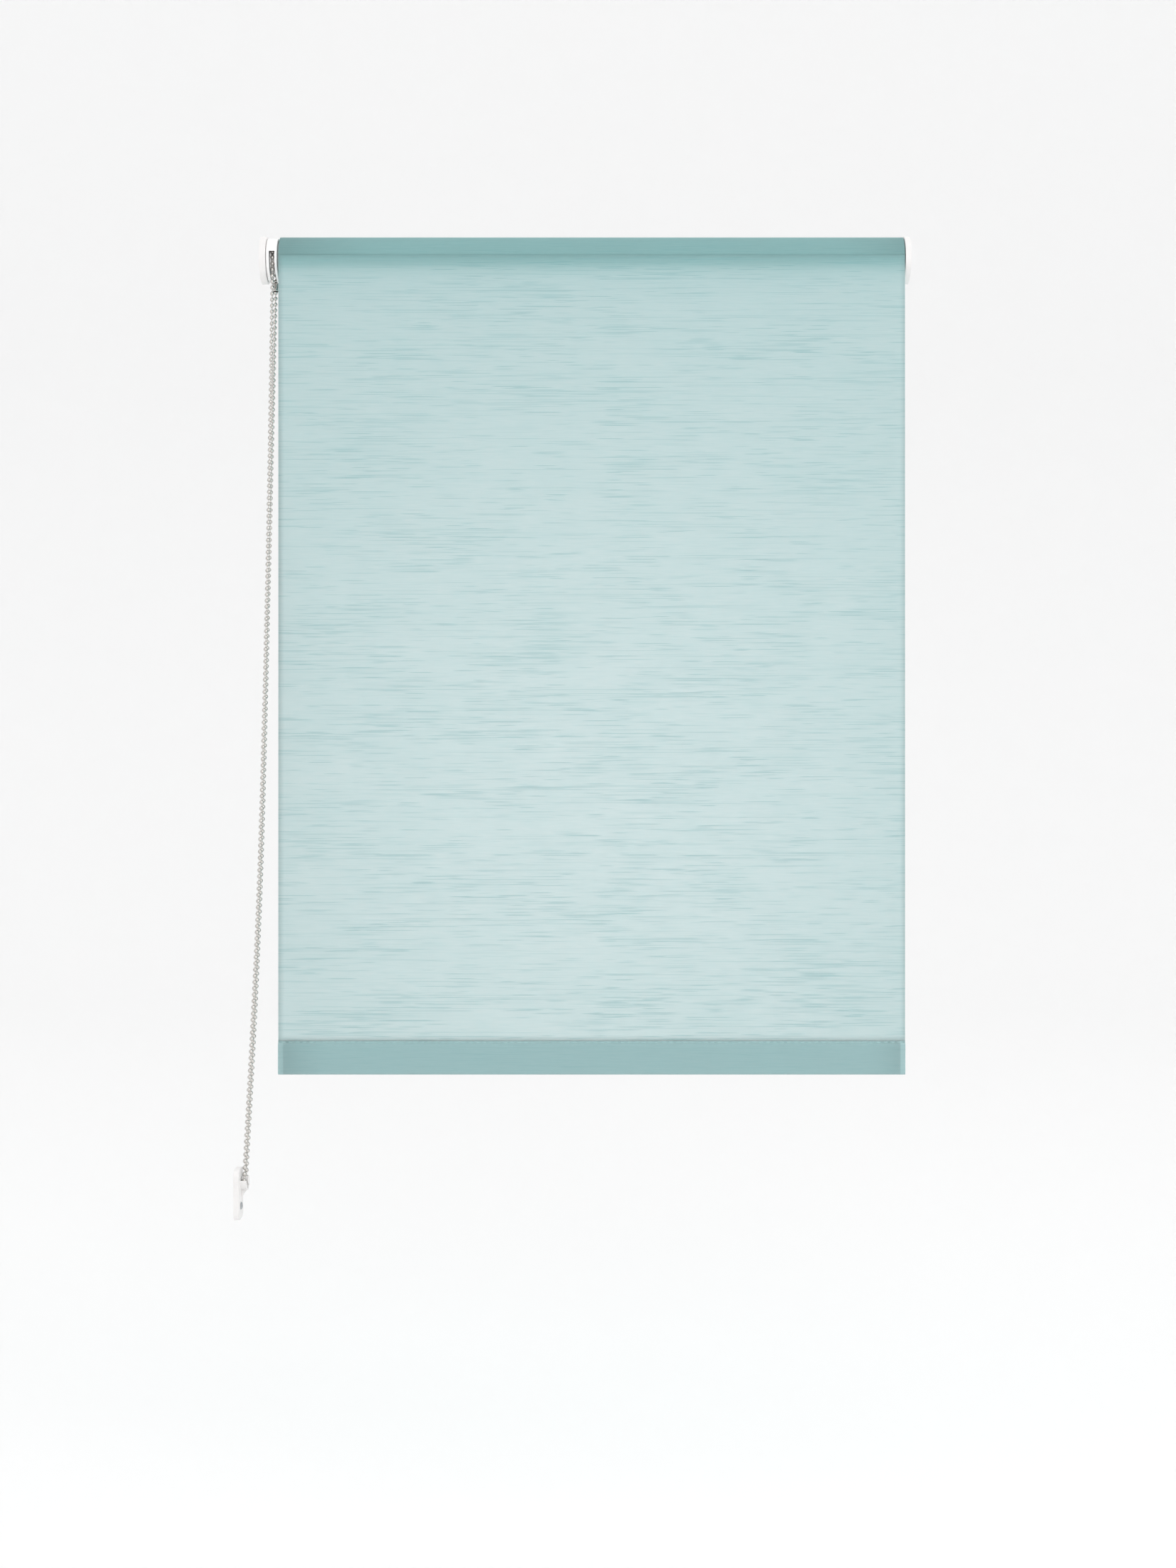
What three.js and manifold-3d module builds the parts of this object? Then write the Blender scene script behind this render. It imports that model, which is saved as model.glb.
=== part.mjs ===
// A chain-operated roller blind for a window reveal, fully lowered. Millimetres, +Z up.
// +X runs along the roller towards the idle end and -Y faces the room. The origin is on the
// roller's axis, midway between the two faces that the brackets meet the reveal with.
import * as THREE from 'three';
import { mergeVertices } from 'three/addons/utils/BufferGeometryUtils.js';
import Module from 'manifold-3d';

const wasm = await Module();
wasm.setup();

// Overall sizes
const revealWidth = 642; // wall to wall, over both brackets
const hemDrop = 805.7; // roller axis to the hem's lower edge
const clearance = 0.3; // between pieces that meet, run or slide
const overcut = 1; // how far a cutting tool passes the face it cuts
const lap = 0.5; // how far two joined shapes reach into each other

// Brackets, covers and their screws
const plateThickness = 1.6;
const plateRadius = 21.5;
const coverWall = 1.4;
const controlCoverDepth = 6.3;
const idleCoverDepth = 5.6;
const coverEdge = 0.9; // rounding of a cover's outer edge
const coverHole = 8;
const screwSpacing = 29;
const screwRadius = 1.7;
const screwHeadRadius = 3.4;
const screwHeadDepth = 1.1;
const screwSlotFloor = 0.5; // under the slot in a screw's head
const screwSlotWidth = 0.8;
const spigotSide = 9;
const spigotReach = 7; // into the hub's socket

// Chain drive
const guardRadius = 21.3;
const guardWidth = 11.1;
const guardWall = 1.5;
const guardMouth = 14.9; // hole in the guard's inner wall
const guardBore = 6.8; // hole in its outer wall
const guardEdge = 0.6;
const slotSetback = 5.9; // from the guard's outer face to the middle of its slot
const slotWidth = 5.7;
const slotTop = 5; // height of the slot's upper end over the axis
const hubRadius = 9;
const hubFlange = 14.2;
const hubFlangeThickness = 1.2;
const hubLength = 28.6;
const hubScrewRadius = 2;
const hubScrewHead = 3.8;
const hubScrewHeadDepth = 2.2;
const hexSocketRadius = 1.4;
const hexSocketDepth = 1.3;
const washerLap = 1.6; // the washer's edge beyond the hub
const washerThickness = 1;
const pockets = 14;
const beadPitch = 6;
const beadDiameter = 4.5;
const coreDiameter = 2; // the chain's links, where its beads lie in the wheel's pockets
const chainOffset = 0.2; // the chain hangs this much nearer the wall than its slot's middle
const wheelWidth = 5.9;
const rimRise = 1.431; // the wheel's rim over the line of the beads
const sleeveWall = 1.3;
const sleeveLength = 17;
const splitWidth = 8;
const springWire = 1;
const springSeat = 0.4; // between the hub and a wrap spring
const springRoom = 0.5; // between a wrap spring and the sleeve
const springStart = 1.2;
const springGap = 2.2;
const springPitch = 1.4;
const springTurns = 3;
const crownFlangeThickness = 1.1;
const crownLength = 25.4;
const crownRoom = 0.4; // between the wheel's sleeve and the crown's bore
const crownEnd = 2;
const crownEndHole = 5;
const keyWidth = 3;
const keySetback = 8; // from the crown's end
const crownRibs = 12;
const crownRibHeight = 1;
const ribFoot = 0.13; // half a rib's angle at its foot, in radians
const ribCrest = 0.08;
const ribRoom = 0.4; // between the ribs and the tube

// Roller and fabric
const tubeRadius = 19;
const tubeWall = 1.2;
const fabricDeduction = 25.8; // how much narrower the fabric is than the reveal
const fabricThickness = 0.6;
const rollThickness = 2.7; // the turns of fabric left on the tube
const grooveWidth = 7;
const grooveDepth = 2.2;
const splineThickness = 1.5;
const splineInset = 2;

// Idle end
const pinRadius = 4;
const pinCollar = 6;
const pinCollarLength = 3;
const pinLength = 23.4;
const pinChamfer = 0.8;
const pinGap = 0.1; // between the pin's tip and the plane of the bracket
const pinTailStop = 2; // how far the tail stays from the bottom of its travel
const plugFloor = 2;
const pinTravel = 8.5;
const plugLength = 40;
const plugNose = 5.6; // end wall that stops the pin's collar
const idleSpringWire = 0.9;
const idleSpringRadius = 4.6;
const idleSpringTurns = 6;
const bushRadius = 6.2;
const bushFlange = 7.6;
const bushWall = 1;
const bushEnd = 0.9;
const bushEndHole = 1.5;

// Hem
const barHeight = 27;
const barThickness = 4;
const barInset = 5; // from the fabric's side edge to the bar's end
const pocketWall = 0.6;
const hemHeight = 33.4;
const foldSolid = 3; // solid fabric at the folds, over and under the bar's space

// Chain tidy on the reveal, below the chain's loop
const tidyHeight = 46.7;
const tidyDepth = 26;
const tidyThickness = 5;
const tidyFront = -176;
const tidyTop = -872.8;
const tidyReach = 10.8; // from the wall to the outer end of the cradle
const tidyCorner = 7;
const tidyPostHead = 0.9;
const tidyPostLip = 1.2;
const tidyPostWell = 1.5; // depth left under the post's foot
const cradleWall = 1.6;
const webThickness = 3;
const webDrop = 9;
const webSetback = 0.6;
const tidyScrewHeight = 12; // over the tidy's lower end

// Chain joiner on the rear strand
const joinerLength = 8;
const joinerWall = 0.5;
const chainRoom = 0.4; // between the chain and what it runs through
const joinerTop = -20.4;

// The chain's route outside the guard, chosen point by point: x, y, z
const frontRoute = [
  [-308.7, -13.4, -10.3],
  [-308.8, -13.9, -30],
  [-309.0, -15.8, -60],
  [-309.3, -19.6, -120],
  [-309.6, -24.3, -180],
  [-309.9, -29.7, -240],
  [-310.2, -35.7, -300],
  [-310.5, -42.4, -360],
  [-310.8, -49.9, -420],
  [-311.1, -58.4, -480],
  [-311.4, -67.9, -540],
  [-311.6, -79.4, -600],
  [-311.9, -93.4, -660],
  [-312.2, -110.3, -720],
  [-312.5, -129.2, -780],
  [-312.8, -145.8, -830],
  [-312.9, -155.9, -860],
  [-313.0, -163.2, -880.9],
];
const loopRoute = [
  [-313.0, -163.3, -881.2],
  [-313.0, -163.7, -882.1],
  [-313.0, -164.0, -884.0],
  [-313.0, -163.6, -886.1],
  [-313.0, -162.4, -887.8],
  [-313.0, -160.7, -889.0],
  [-313.0, -158.6, -889.4],
  [-313.0, -156.5, -889.0],
  [-313.0, -154.8, -887.8],
  [-313.0, -153.9, -886.7],
  [-313.0, -153.5, -885.9],
  [-313.0, -153.2, -885.0],
];
const rearRoute = [
  [-313.0, -153.1, -884.7],
  [-312.9, -144.8, -862],
  [-312.8, -137.2, -841],
  [-312.6, -119.2, -790],
  [-312.3, -99.7, -730],
  [-312.0, -83.4, -670],
  [-311.7, -69.6, -610],
  [-311.4, -58.6, -550],
  [-311.1, -49.8, -490],
  [-310.7, -40.7, -420],
  [-310.4, -31.5, -350],
  [-310.0, -22.4, -280],
  [-309.7, -13.3, -210],
  [-309.3, -4.1, -140],
  [-309.0, 5.0, -70],
  [-308.8, 10.2, -30],
  [-308.7, 12.8, -10.3],
];

// Places worked out from the sizes above
const wallLeft = -revealWidth / 2;
const wallRight = revealWidth / 2;
const controlFace = wallLeft + controlCoverDepth;
const guardLeft = controlFace + clearance;
const guardRight = guardLeft + guardWidth;
const crownLeft = guardRight + clearance;
const fabricWidth = revealWidth - fabricDeduction;
const fabricLeft = crownLeft + crownFlangeThickness + clearance;
const fabricRight = fabricLeft + fabricWidth;
const slotCentre = guardLeft + slotSetback;
const chainPlane = slotCentre - chainOffset;
const hubLeft = guardLeft + guardWall + clearance;
const hubRight = hubLeft + hubLength;
const wheelLeft = hubLeft + hubFlangeThickness + clearance;
const wheelRight = wheelLeft + wheelWidth;
const pitchRadius = (pockets * beadPitch) / (2 * Math.PI);
const wheelRim = pitchRadius + rimRise;
const springRadius = hubRadius + springSeat + springWire / 2;
const sleeveInner = springRadius + springWire / 2 + springRoom;
const sleeveRadius = sleeveInner + sleeveWall;
const crownBore = sleeveRadius + crownRoom;
const sleeveOuter = tubeRadius - tubeWall - ribRoom; // over the ribs that grip the tube
const rollRadius = tubeRadius + clearance + rollThickness;
const panelY = -rollRadius - clearance - fabricThickness / 2;
const hemTop = hemHeight - hemDrop;
const tidyPost = new THREE.Vector3(-313.0, -158.6, -884);
const tidyPostPitch = 5.4;

const finishes = {
  whitePlastic: { color: 0xf1efee, roughness: 0.45, metalness: 0 },
  greyPlastic: { color: 0xb9bcbd, roughness: 0.5, metalness: 0 },
  blackPlastic: { color: 0x2b2c2e, roughness: 0.5, metalness: 0 },
  zincSteel: { color: 0xb4b8bc, roughness: 0.35, metalness: 1 },
  springSteel: { color: 0x7d8084, roughness: 0.3, metalness: 1 },
  aluminium: { color: 0xc6c9cc, roughness: 0.35, metalness: 1 },
  nickel: { color: 0xd6d4d0, roughness: 0.18, metalness: 1 },
  fabric: { color: 0xc2dedf, roughness: 0.9, metalness: 0 },
};

const group = new THREE.Group();

// Volume inside a closed triangle mesh: negative when its faces point in.
function signedVolume(points, faces) {
  const corner = (i) => new THREE.Vector3().fromArray(points, 3 * i);
  let sum = 0;
  for (let i = 0; i < faces.length; i += 3) {
    sum += corner(faces[i]).cross(corner(faces[i + 1])).dot(corner(faces[i + 2])) / 6;
  }
  return sum;
}

function solid(geometry) {
  const bare = geometry.clone();
  bare.deleteAttribute('normal');
  bare.deleteAttribute('uv');
  const welded = mergeVertices(bare, 1e-4);
  const points = new Float32Array(welded.attributes.position.array);
  const faces = [];
  for (let i = 0; i < welded.index.count; i += 3) {
    const [a, b, c] = welded.index.array.slice(i, i + 3);
    if (a !== b && b !== c && c !== a) faces.push(a, b, c);
  }
  if (signedVolume(points, faces) < 0) faces.reverse();
  const mesh = new wasm.Mesh({ numProp: 3, vertProperties: points, triVerts: Uint32Array.from(faces) });
  return new wasm.Manifold(mesh);
}

function join(first, ...others) {
  return others.reduce((body, other) => body.add(solid(other)), solid(first));
}

function cut(body, ...tools) {
  return tools.reduce((left, tool) => left.subtract(solid(tool)), body);
}

function place(name, body, finish) {
  const { vertProperties, triVerts } = body.getMesh();
  const geometry = new THREE.BufferGeometry();
  geometry.setAttribute('position', new THREE.BufferAttribute(vertProperties, 3));
  geometry.setIndex(new THREE.BufferAttribute(triVerts, 1));
  geometry.computeVertexNormals();
  const mesh = new THREE.Mesh(geometry, new THREE.MeshStandardMaterial(finishes[finish]));
  mesh.name = name;
  group.add(mesh);
}

// A round bar along X.
function rod(x0, x1, radius, y = 0, z = 0, sides = 40) {
  const bar = new THREE.CylinderGeometry(radius, radius, x1 - x0, sides);
  return bar.rotateZ(-Math.PI / 2).translate((x0 + x1) / 2, y, z);
}

// A cone along X, from one radius to the other.
function cone(x0, x1, radius0, radius1, y = 0, z = 0, sides = 24) {
  const bar = new THREE.CylinderGeometry(radius1, radius0, x1 - x0, sides);
  return bar.rotateZ(-Math.PI / 2).translate((x0 + x1) / 2, y, z);
}

function box(x0, x1, y0, y1, z0, z1) {
  const block = new THREE.BoxGeometry(x1 - x0, y1 - y0, z1 - z0);
  return block.translate((x0 + x1) / 2, (y0 + y1) / 2, (z0 + z1) / 2);
}

// A closed outline of [x, radius] points, spun about the roller's axis.
function turned(outline, sides = 48) {
  const points = [...outline, outline[0]].map(([x, r]) => new THREE.Vector2(r, x));
  return new THREE.LatheGeometry(points, sides).rotateZ(-Math.PI / 2);
}

// A [y, z] outline drawn out along X.
function drawn(shape, x0, x1, curveSegments = 8) {
  const options = { depth: x1 - x0, bevelEnabled: false, curveSegments };
  const geometry = new THREE.ExtrudeGeometry(shape, options);
  // The shape's own x and y become y and z.
  const turn = new THREE.Matrix4().set(0, 0, 1, x0, 1, 0, 0, 0, 0, 1, 0, 0, 0, 0, 0, 1);
  return geometry.applyMatrix4(turn);
}

function circle(radius, sides) {
  const corner = (i) => (2 * Math.PI * i) / sides;
  const points = Array.from({ length: sides }, (_, i) => [Math.cos(corner(i)), Math.sin(corner(i))]);
  return new THREE.Shape(points.map(([u, v]) => new THREE.Vector2(radius * u, radius * v)));
}

function tube(path, diameter, steps, sides = 8) {
  const options = { steps, extrudePath: path, bevelEnabled: false };
  return new THREE.ExtrudeGeometry(circle(diameter / 2, sides), options);
}

// An upright oval: two half circles joined by straight sides.
function oval(width, height, y, z) {
  const radius = width / 2;
  const straight = height / 2 - radius;
  const shape = new THREE.Shape();
  shape.absarc(y, z + straight, radius, 0, Math.PI);
  shape.absarc(y, z - straight, radius, Math.PI, 2 * Math.PI);
  return shape;
}

class Helix extends THREE.Curve {
  constructor(x0, radius, pitch, turns) {
    super();
    Object.assign(this, { x0, radius, pitch, turns });
  }

  getPoint(t, target = new THREE.Vector3()) {
    const angle = 2 * Math.PI * this.turns * t;
    const x = this.x0 + this.pitch * this.turns * t;
    return target.set(x, this.radius * Math.cos(angle), this.radius * Math.sin(angle));
  }
}

function addBrackets() {
  // side is 1 where the plate's wall face looks to -X and -1 where it looks to +X
  const ends = [
    { name: 'control', wall: wallLeft, side: 1 },
    { name: 'idle', wall: wallRight, side: -1 },
  ];
  for (const { name, wall, side } of ends) {
    const span = (from, to) => [wall + side * from, wall + side * to].sort((a, b) => a - b);
    const disc = rod(...span(0, plateThickness), plateRadius, 0, 0, 36);
    const headFoot = plateThickness + clearance;
    let plate = solid(disc);
    for (const [label, z] of [['upper', screwSpacing / 2], ['lower', -screwSpacing / 2]]) {
      plate = cut(plate, rod(...span(-overcut, plateThickness + overcut), screwRadius + clearance, 0, z, 16));
      const shank = rod(...span(clearance, headFoot + lap), screwRadius, 0, z, 16);
      const head = rod(...span(headFoot, headFoot + screwHeadDepth), screwHeadRadius, 0, z, 24);
      const slot = box(...span(headFoot + screwSlotFloor, headFoot + screwHeadDepth + overcut),
        -screwHeadRadius, screwHeadRadius, z - screwSlotWidth / 2, z + screwSlotWidth / 2);
      place(`${name}_screw_${label}`, cut(join(shank, head), slot), 'zincSteel');
    }
    if (name === 'control') {
      const tip = hubLeft + spigotReach - wall;
      const half = spigotSide / 2;
      plate = plate.add(solid(box(...span(plateThickness / 2, tip), -half, half, -half, half)));
      plate = cut(plate, rod(...span(plateThickness, tip + overcut), hubScrewRadius + clearance, 0, 0, 20));
    } else {
      plate = cut(plate, rod(...span(-overcut, plateThickness + overcut), bushRadius + clearance));
    }
    place(`${name}_bracket`, plate, 'zincSteel');
    const depth = name === 'control' ? controlCoverDepth : idleCoverDepth;
    const rim = plateRadius + clearance + coverWall;
    const cover = turned([
      [wall, rim],
      [wall + side * (depth - coverEdge), rim],
      [wall + side * (depth - coverEdge * 0.3), rim - coverEdge * 0.3],
      [wall + side * depth, rim - coverEdge],
      [wall + side * depth, coverHole],
      [wall + side * (depth - coverWall), coverHole],
      [wall + side * (depth - coverWall), rim - coverWall],
      [wall, rim - coverWall],
    ], 44);
    place(`${name}_cover`, solid(cover), 'whitePlastic');
  }
}

function addChainDrive() {
  const inner = guardRadius - guardWall;
  const guard = solid(turned([
    [guardLeft, guardBore],
    [guardLeft, guardRadius - guardEdge],
    [guardLeft + guardEdge, guardRadius],
    [guardRight - guardEdge, guardRadius],
    [guardRight, guardRadius - guardEdge],
    [guardRight, guardMouth],
    [guardRight - guardWall, guardMouth],
    [guardRight - guardWall, inner],
    [guardLeft + guardWall, inner],
    [guardLeft + guardWall, guardBore],
  ], 40));
  const reach = guardRadius + overcut;
  const slot = box(slotCentre - slotWidth / 2, slotCentre + slotWidth / 2, -reach, reach, -reach, slotTop);
  place('chain_guard', cut(guard, slot), 'whitePlastic');

  const socket = spigotSide / 2 + clearance;
  const hub = join(rod(hubLeft, hubLeft + hubFlangeThickness, hubFlange), rod(hubLeft, hubRight, hubRadius));
  const socketEnd = hubLeft + spigotReach + clearance;
  place('clutch_hub', cut(
    hub,
    box(hubLeft - overcut, socketEnd, -socket, socket, -socket, socket),
    rod(hubLeft - overcut, hubRight + overcut, hubScrewRadius + clearance, 0, 0, 20),
  ), 'greyPlastic');

  const washerLeft = hubRight + clearance;
  const washerRight = washerLeft + washerThickness;
  const washer = solid(rod(washerLeft, washerRight, hubRadius + washerLap));
  const washerHole = rod(washerLeft - overcut, washerRight + overcut, hubScrewRadius + clearance, 0, 0, 20);
  place('hub_washer', cut(washer, washerHole), 'zincSteel');
  const headLeft = washerRight + clearance;
  const headRight = headLeft + hubScrewHeadDepth;
  const shank = rod(wallLeft + plateThickness + overcut, headLeft + lap, hubScrewRadius, 0, 0, 20);
  const hexKey = rod(headRight - hexSocketDepth, headRight + overcut, hexSocketRadius, 0, 0, 6);
  place('hub_screw', cut(join(shank, rod(headLeft, headRight, hubScrewHead, 0, 0, 24)), hexKey), 'zincSteel');

  // The wheel: a rim with a pocket for each bead and a groove for the links between them,
  // and a split sleeve that reaches over the wrap springs.
  const ribSlot = coreDiameter / 2 + clearance;
  const sleeveEnd = wheelRight + sleeveLength;
  const groove = turned([
    [chainPlane - ribSlot, pitchRadius - ribSlot],
    [chainPlane - ribSlot, wheelRim + overcut],
    [chainPlane + ribSlot, wheelRim + overcut],
    [chainPlane + ribSlot, pitchRadius - ribSlot],
  ], 42);
  const rim = rod(wheelLeft, wheelRight, wheelRim, 0, 0, 42);
  let wheel = join(rim, rod(wheelLeft, sleeveEnd, sleeveRadius, 0, 0, 28));
  wheel = cut(
    wheel,
    rod(wheelLeft - overcut, sleeveEnd + overcut, hubRadius + clearance, 0, 0, 28),
    rod(wheelRight, sleeveEnd + overcut, sleeveInner, 0, 0, 28),
    groove,
    box(wheelRight + overcut, sleeveEnd + overcut, -splitWidth / 2, splitWidth / 2, -wheelRim, 0),
  );
  for (let i = 0; i < pockets; i += 1) {
    const angle = Math.PI + (2 * Math.PI * i) / pockets;
    const pocket = new THREE.SphereGeometry(beadDiameter / 2 + clearance, 8, 6);
    pocket.translate(chainPlane, pitchRadius * Math.cos(angle), pitchRadius * Math.sin(angle));
    wheel = cut(wheel, pocket);
  }
  place('chain_wheel', wheel, 'whitePlastic');

  // Two closed springs that grip the fixed hub until the wheel's sleeve turns them.
  const springLength = springPitch * springTurns;
  for (let i = 0; i < 2; i += 1) {
    const start = wheelRight + springStart + i * (springLength + springGap);
    const coil = new Helix(start, springRadius, springPitch, springTurns);
    place(`wrap_spring_${i + 1}`, solid(tube(coil, springWire, 14 * springTurns, 6)), 'springSteel');
  }
}

// A sleeve with ribs along it that grips the tube's bore, notched where the tube's groove runs.
function ribbedSleeve(x0, x1) {
  const shape = new THREE.Shape();
  for (let i = 0; i < crownRibs; i += 1) {
    const middle = (2 * Math.PI * (i + 0.5)) / crownRibs;
    const corners = [[-ribFoot, 1], [-ribCrest, 0], [ribCrest, 0], [ribFoot, 1]];
    for (const [offset, low] of corners) {
      const radius = sleeveOuter - low * crownRibHeight;
      const point = [radius * Math.cos(middle + offset), radius * Math.sin(middle + offset)];
      if (i === 0 && offset === -ribFoot) shape.moveTo(...point);
      else shape.lineTo(...point);
    }
    const next = middle + Math.PI / crownRibs;
    const radius = sleeveOuter - crownRibHeight;
    shape.lineTo(radius * Math.cos(next), radius * Math.sin(next));
  }
  const grooveSide = grooveWidth / 2 + tubeWall + clearance;
  const grooveFloor = tubeRadius - grooveDepth - tubeWall - clearance;
  const notch = box(x0 - overcut, x1 + overcut, -grooveSide, grooveSide, grooveFloor, tubeRadius);
  return cut(solid(drawn(shape, x0, x1)), notch);
}

function addRoller() {
  const inner = tubeRadius - tubeWall;
  const halfGroove = grooveWidth / 2;
  const grooveFloor = tubeRadius - grooveDepth;

  const crownRight = crownLeft + crownLength;
  let crown = ribbedSleeve(crownLeft + crownFlangeThickness - lap, crownRight);
  crown = crown.add(solid(rod(crownLeft, crownLeft + crownFlangeThickness, tubeRadius - clearance)));
  crown = cut(
    crown,
    rod(crownLeft - overcut, crownRight - crownEnd, crownBore),
    rod(crownRight - crownEnd - overcut, crownRight + overcut, crownEndHole, 0, 0, 20),
  );
  // The key stands in the split of the wheel's sleeve, where it meets the springs' tangs.
  const keyFoot = springRadius + springWire / 2 + 2 * clearance;
  const key = box(crownLeft, crownRight - keySetback, -keyWidth / 2, keyWidth / 2,
    -crownBore - lap, -keyFoot);
  place('drive_crown', crown.add(solid(key)), 'greyPlastic');

  let tubeBody = cut(
    solid(rod(fabricLeft, fabricRight, tubeRadius, 0, 0, 48)),
    rod(fabricLeft - overcut, fabricRight + overcut, inner, 0, 0, 48),
  );
  const channel = box(fabricLeft, fabricRight, -halfGroove - tubeWall, halfGroove + tubeWall,
    grooveFloor - tubeWall, inner + lap);
  tubeBody = cut(
    tubeBody.add(solid(channel)),
    box(fabricLeft - overcut, fabricRight + overcut, -halfGroove, halfGroove,
      grooveFloor, tubeRadius + overcut),
  );
  place('roller_tube', tubeBody, 'aluminium');
  place('fabric_spline', solid(box(
    fabricLeft + splineInset, fabricRight - splineInset,
    clearance - halfGroove, halfGroove - clearance,
    grooveFloor + clearance, grooveFloor + clearance + splineThickness,
  )), 'greyPlastic');

  place('fabric_roll', solid(turned([
    [fabricLeft, tubeRadius + clearance],
    [fabricLeft, rollRadius],
    [fabricRight, rollRadius],
    [fabricRight, tubeRadius + clearance],
  ], 64)), 'fabric');
}

function addIdleEnd() {
  const plugLeft = fabricRight - plugLength;
  const noseLeft = fabricRight - plugNose;
  const pinRight = wallRight - plateThickness - pinGap;
  const pinLeft = pinRight - pinLength;
  const wellRadius = pinCollar + clearance;
  const wellLeft = plugLeft + plugFloor;
  let plug = ribbedSleeve(plugLeft, fabricRight);
  plug = cut(
    plug,
    rod(wellLeft, noseLeft, wellRadius, 0, 0, 24),
    rod(noseLeft - overcut, fabricRight + overcut, pinRadius + clearance, 0, 0, 24),
  );
  place('idle_plug', plug, 'greyPlastic');

  const collar = rod(pinLeft, pinLeft + pinCollarLength, pinCollar, 0, 0, 24);
  const shank = rod(pinLeft + lap, pinRight - pinChamfer, pinRadius, 0, 0, 24);
  const tip = cone(pinRight - pinChamfer, pinRight, pinRadius, pinRadius - pinChamfer);
  const tailRadius = idleSpringRadius - idleSpringWire / 2 - 2 * clearance;
  const tail = rod(pinLeft - pinTravel + pinTailStop, pinLeft + lap, tailRadius, 0, 0, 20);
  place('idle_pin', join(collar, shank, tip, tail), 'zincSteel');

  const springLeft = wellLeft + clearance + idleSpringWire / 2;
  const springRight = pinLeft - clearance - idleSpringWire / 2;
  const pitch = (springRight - springLeft) / idleSpringTurns;
  const coil = new Helix(springLeft, idleSpringRadius, pitch, idleSpringTurns);
  place('idle_spring', solid(tube(coil, idleSpringWire, 11 * idleSpringTurns, 6)), 'springSteel');

  // The bush sits in the idle bracket and carries the pin's tip.
  const plateInner = wallRight - plateThickness;
  const bore = pinRadius + clearance;
  place('idle_bush', solid(turned([
    [plateInner - clearance - bushWall, bore],
    [plateInner - clearance - bushWall, bushFlange],
    [plateInner - clearance, bushFlange],
    [plateInner - clearance, bushRadius],
    [wallRight - clearance, bushRadius],
    [wallRight - clearance, bushEndHole],
    [wallRight - clearance - bushEnd, bushEndHole],
    [wallRight - clearance - bushEnd, bore],
  ], 32)), 'blackPlastic');
}

function addFabric() {
  place('fabric_panel', solid(box(
    fabricLeft, fabricRight,
    panelY - fabricThickness / 2, panelY + fabricThickness / 2,
    hemTop + clearance, 0,
  )), 'fabric');

  const hemMiddle = hemTop - hemHeight / 2;
  const barRight = fabricRight - barInset;
  place('bottom_bar', solid(drawn(oval(barThickness, barHeight, panelY, hemMiddle),
    fabricLeft + barInset, barRight)), 'aluminium');
  const boreWidth = barThickness + 2 * clearance;
  const pocket = oval(boreWidth + 2 * pocketWall, hemHeight, panelY, hemMiddle);
  const bore = oval(boreWidth, hemHeight - 2 * pocketWall - foldSolid, panelY, hemMiddle);
  place('hem_pocket', cut(solid(drawn(pocket, fabricLeft, fabricRight)),
    drawn(bore, fabricLeft - overcut, fabricRight + overcut)), 'fabric');
}

function addChain() {
  const strandSteps = 28;
  const curve = (points) => new THREE.CatmullRomCurve3(points.map((p) => new THREE.Vector3(...p)));
  place('chain_front', solid(tube(curve(frontRoute), beadDiameter, strandSteps)), 'nickel');
  place('chain_rear', solid(tube(curve(rearRoute), beadDiameter, strandSteps)), 'nickel');
  place('chain_loop', solid(tube(curve(loopRoute), beadDiameter, 9)), 'nickel');

  // Over the wheel the links lie in its groove, from one strand's top end to the other's.
  const wrapPoints = 12;
  const wrap = [];
  const strandTop = frontRoute[0][2] + clearance;
  wrap.push([chainPlane, -pitchRadius, strandTop], [chainPlane, -pitchRadius, strandTop / 2]);
  for (let i = 0; i <= wrapPoints; i += 1) {
    const angle = Math.PI * (1 - i / wrapPoints);
    wrap.push([chainPlane, pitchRadius * Math.cos(angle), pitchRadius * Math.sin(angle)]);
  }
  wrap.push([chainPlane, pitchRadius - 0.1, strandTop / 2], [chainPlane, pitchRadius - 0.5, strandTop]);
  place('chain_wrap', solid(tube(curve(wrap), coreDiameter, 16)), 'nickel');

  // A barrel over the rear strand, just under the guard's mouth.
  const bottom = joinerTop - joinerLength;
  const bore = beadDiameter / 2 + chainRoom;
  const height = (z) => (z - rearRoute.at(-1)[2]) / (rearRoute.at(-2)[2] - rearRoute.at(-1)[2]);
  const along = (z) => rearRoute.at(-1)[1] + height(z) * (rearRoute.at(-2)[1] - rearRoute.at(-1)[1]);
  const lean = Math.atan2(along(joinerTop) - along(bottom), joinerLength);
  const barrel = (radius, length) => new THREE.CylinderGeometry(radius, radius, length, 20)
    .rotateX(Math.PI / 2).rotateX(-lean)
    .translate(rearRoute.at(-2)[0] + 0.1, (along(joinerTop) + along(bottom)) / 2, (joinerTop + bottom) / 2);
  place('chain_joiner', cut(solid(barrel(bore + joinerWall, joinerLength)), barrel(bore, joinerLength + 2)),
    'nickel');
}

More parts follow.
